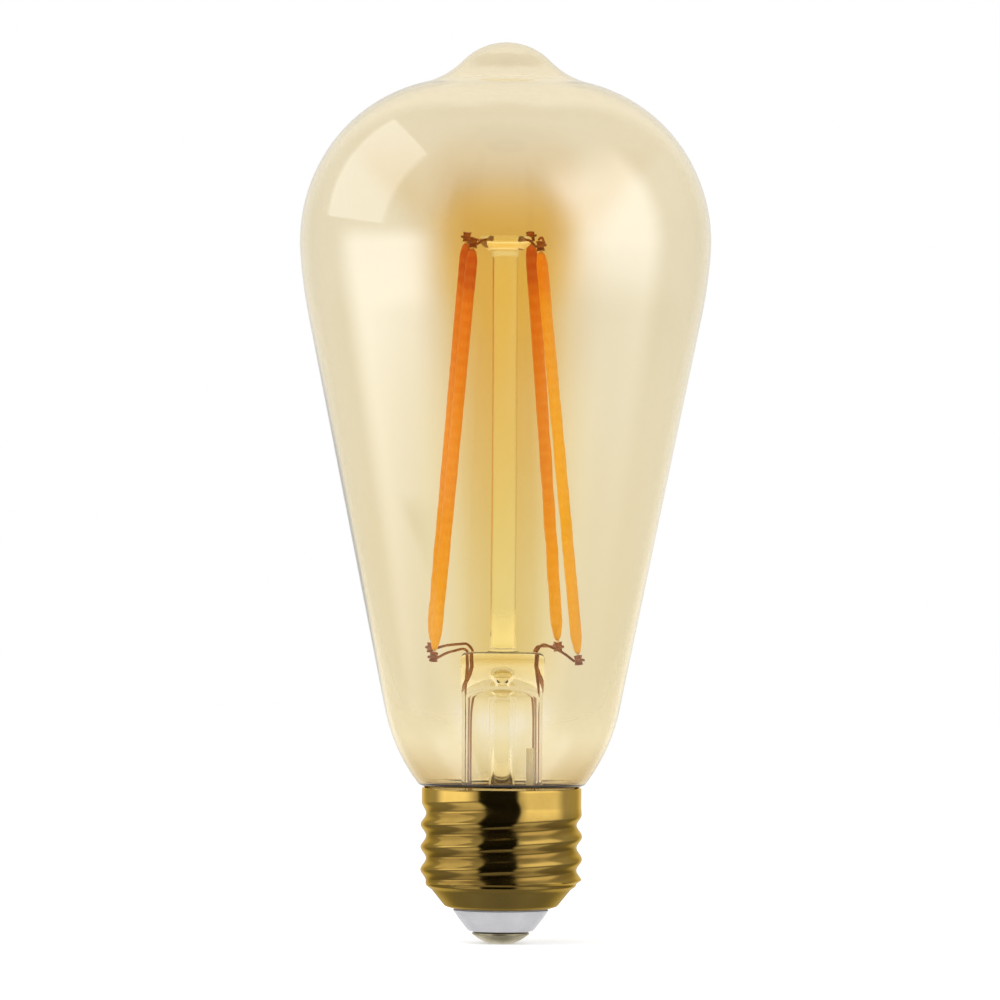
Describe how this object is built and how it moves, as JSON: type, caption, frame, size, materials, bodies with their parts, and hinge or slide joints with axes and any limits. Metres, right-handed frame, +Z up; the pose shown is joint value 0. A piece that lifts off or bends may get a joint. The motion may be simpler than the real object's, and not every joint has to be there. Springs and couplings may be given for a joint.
{
  "type": "smart filament light bulb",
  "caption": "Pear-shaped amber glass light bulb with upright LED filaments on a glass stem and a brass screw base that holds a driver and a wireless module.",
  "frame": {"origin": "the tip of the centre contact, at the bottom of the bulb's axis", "axes": "+Z up the bulb's axis from the contact to the top of the glass, +X to the right of the front view, which looks along +Y"},
  "size_m": [0.066, 0.066, 0.1449],
  "materials": {
    "amber_glass": "clear, smooth, amber tinted",
    "clear_glass": "clear, fire polished",
    "phosphor": "matte silicone with yellow phosphor",
    "filament_strip": "satin",
    "crimp": "dark copper coloured",
    "lead_wire": "copper coloured",
    "hook_wire": "dark copper coloured",
    "brass": "polished",
    "cement": "matte",
    "insulator": "smooth",
    "contact": "satin",
    "circuit_board": "solder mask",
    "module_board": "solder mask",
    "chip": "matte",
    "shield": "tinned",
    "capacitor_sleeve": "shrink sleeve",
    "ferrite": "matte",
    "film_case": "dipped",
    "fuse_body": "matte",
    "tinned_wire": "tinned",
    "antenna_sleeve": "matte"
  },
  "bodies": {
    "root": {"antenna_sleeve": "antenna_sleeve", "antenna_wire": "tinned_wire", "base_cement": "cement", "bridge_rectifier": "chip", "bulk_capacitor": "capacitor_sleeve", "centre_contact": "contact", "contact_lead": "tinned_wire", "driver_board": "circuit_board", "driver_chip": "chip", "exhaust_tube": "clear_glass", "filament_coat_back_left": "phosphor", "filament_coat_back_right": "phosphor", "filament_coat_front_left": "phosphor", "filament_coat_front_right": "phosphor", "filament_strip_back_left": "filament_strip", "filament_strip_back_right": "filament_strip", "filament_strip_front_left": "filament_strip", "filament_strip_front_right": "filament_strip", "film_capacitor": "film_case", "fuse_resistor": "fuse_body", "glass_envelope": "amber_glass", "hook_wire_back_left": "hook_wire", "hook_wire_back_right": "hook_wire", "hook_wire_front_left": "hook_wire", "hook_wire_front_right": "hook_wire", "insulator": "insulator", "lead_wire_back_left": "lead_wire", "lead_wire_back_right": "lead_wire", "lead_wire_front_left": "lead_wire", "lead_wire_front_right": "lead_wire", "lower_crimp_back_left": "crimp", "lower_crimp_back_right": "crimp", "lower_crimp_front_left": "crimp", "lower_crimp_front_right": "crimp", "power_inductor": "ferrite", "rod_button": "clear_glass", "screw_shell": "brass", "shell_lead": "tinned_wire", "shield_can": "shield", "stem_flare": "clear_glass", "stem_press": "clear_glass", "stem_rod": "clear_glass", "upper_crimp_back_left": "crimp", "upper_crimp_back_right": "crimp", "upper_crimp_front_left": "crimp", "upper_crimp_front_right": "crimp", "wireless_module": "module_board"}
  },
  "joints": []
}
